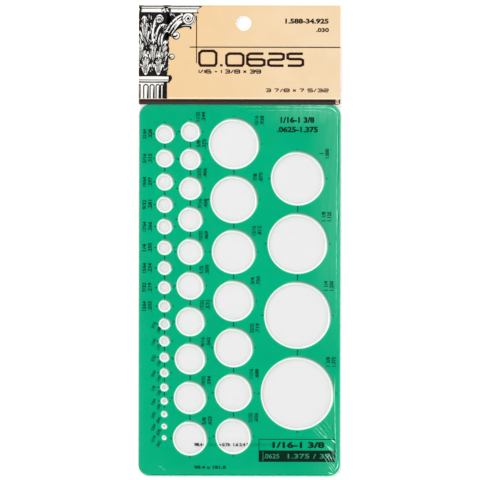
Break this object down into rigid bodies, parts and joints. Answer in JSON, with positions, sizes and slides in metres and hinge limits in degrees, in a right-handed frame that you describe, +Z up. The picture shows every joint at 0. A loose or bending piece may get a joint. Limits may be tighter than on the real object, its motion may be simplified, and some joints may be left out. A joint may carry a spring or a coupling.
{
  "type": "circle template",
  "caption": "Flat green drafting template with graded circular holes, in a snug clear film sleeve closed by a folded header card with a hang hole.",
  "frame": {"origin": "on the surface the pack lies on, under the middle of its length and width", "axes": "+Y along the pack towards the card's fold, +Z up out of the printed face, +X to the right of the face"},
  "size_m": [0.0992, 0.231, 0.002],
  "materials": {
    "green_plastic": "translucent green sheet, satin",
    "clear_film": "clear glossy film",
    "melted_film": "melted, slightly cloudy",
    "printed_card": "coated, printed cream",
    "plain_card": "uncoated card",
    "glue": "dried hot-melt glue"
  },
  "bodies": {
    "sleeve": {"bag_back_film": "clear_film", "bag_front_film": "clear_film", "bag_left_weld": "melted_film", "bag_right_weld": "melted_film", "bag_top_weld": "melted_film", "bag_bottom_fold": "clear_film", "header_back_panel": "plain_card", "header_crease": "printed_card", "back_glue_strip": "glue"},
    "header_flap": {"header_front_panel": "printed_card", "front_glue_strip": "glue"},
    "template": {"template_sheet": "green_plastic"}
  },
  "joints": [
    {"name": "header_flap_hinge", "type": "hinge", "parent": "sleeve", "child": "header_flap", "pos_m": [0, 0.11443, 0.00202], "axis": [-1, 0, 0], "range_deg": [0, 170]},
    {"name": "template_slide", "type": "slide", "parent": "sleeve", "child": "template", "axis": [0, 1, 0], "range_m": [0, 0.0058]}
  ]
}
